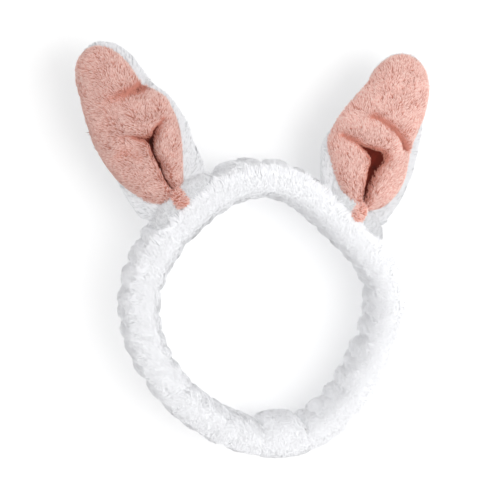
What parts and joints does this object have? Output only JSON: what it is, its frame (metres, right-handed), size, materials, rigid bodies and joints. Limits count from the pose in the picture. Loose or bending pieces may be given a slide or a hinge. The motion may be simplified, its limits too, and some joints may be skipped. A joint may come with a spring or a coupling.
{
  "type": "animal ears headband",
  "caption": "Elasticated plush headband with padded bunny ears: white gathered fleece band and ear backs, pink ear fronts, ears that flop at their sewn base and fold at the tip.",
  "frame": {"origin": "middle of the head opening, on the plane that the band's lower edge rests on", "axes": "+Z is the axis of the head opening, up from the table the band lies on and the way the ears' pink fronts face; +Y is the way the ears point; +X is to the right seen from above with the ears at the top"},
  "size_m": [0.2383, 0.2936, 0.05],
  "materials": {
    "fleece_white": "brushed coral fleece, short dense pile, matt",
    "fleece_pink": "brushed coral fleece, short dense pile, matt",
    "fibrefill": "loose polyester wadding",
    "elastic": "flat knitted elastic",
    "thread": "spun polyester sewing thread"
  },
  "bodies": {
    "band": {"band_sleeve": "fleece_white", "nape_join": "fleece_white", "elastic_loop": "elastic", "elastic_zigzag": "thread", "sleeve_long_seam": "thread", "nape_seam_left": "thread", "nape_seam_right": "thread", "ear_left_root_gather": "fleece_white", "ear_left_tab": "fleece_pink", "ear_left_base_seam": "thread", "ear_right_root_gather": "fleece_white", "ear_right_tab": "fleece_pink", "ear_right_base_seam": "thread"},
    "ear_left": {"ear_left_back_lower": "fleece_white", "ear_left_front_lower": "fleece_pink", "ear_left_filling_lower": "fibrefill", "ear_left_seam_left_edge": "thread", "ear_left_seam_right_edge": "thread"},
    "ear_left_tip": {"ear_left_back_tip": "fleece_white", "ear_left_front_tip": "fleece_pink", "ear_left_filling_tip": "fibrefill", "ear_left_seam_tip": "thread"},
    "ear_right": {"ear_right_back_lower": "fleece_white", "ear_right_front_lower": "fleece_pink", "ear_right_filling_lower": "fibrefill", "ear_right_seam_left_edge": "thread", "ear_right_seam_right_edge": "thread"},
    "ear_right_tip": {"ear_right_back_tip": "fleece_white", "ear_right_front_tip": "fleece_pink", "ear_right_filling_tip": "fibrefill", "ear_right_seam_tip": "thread"}
  },
  "joints": [
    {"name": "ear_left_flop", "type": "hinge", "parent": "band", "child": "ear_left", "pos_m": [-0.06635, 0.08764, 0.036], "axis": [0.751, 0.6603, 0], "range_deg": [-10, 85], "stiffness_Nm_per_rad": 0.06, "springref_deg": 7.91},
    {"name": "ear_left_tip_fold", "type": "hinge", "parent": "ear_left", "child": "ear_left_tip", "pos_m": [-0.09734, 0.15262, 0.04404], "axis": [0.9026, 0.4305, 0], "range_deg": [0, 80], "stiffness_Nm_per_rad": 0.01},
    {"name": "ear_right_flop", "type": "hinge", "parent": "band", "child": "ear_right", "pos_m": [0.06934, 0.07337, 0.036], "axis": [0.7229, -0.691, 0], "range_deg": [-10, 85], "stiffness_Nm_per_rad": 0.06, "springref_deg": 7.33},
    {"name": "ear_right_tip_fold", "type": "hinge", "parent": "ear_right", "child": "ear_right_tip", "pos_m": [0.09039, 0.14223, 0.04404], "axis": [0.9563, -0.2924, 0], "range_deg": [0, 80], "stiffness_Nm_per_rad": 0.01}
  ]
}
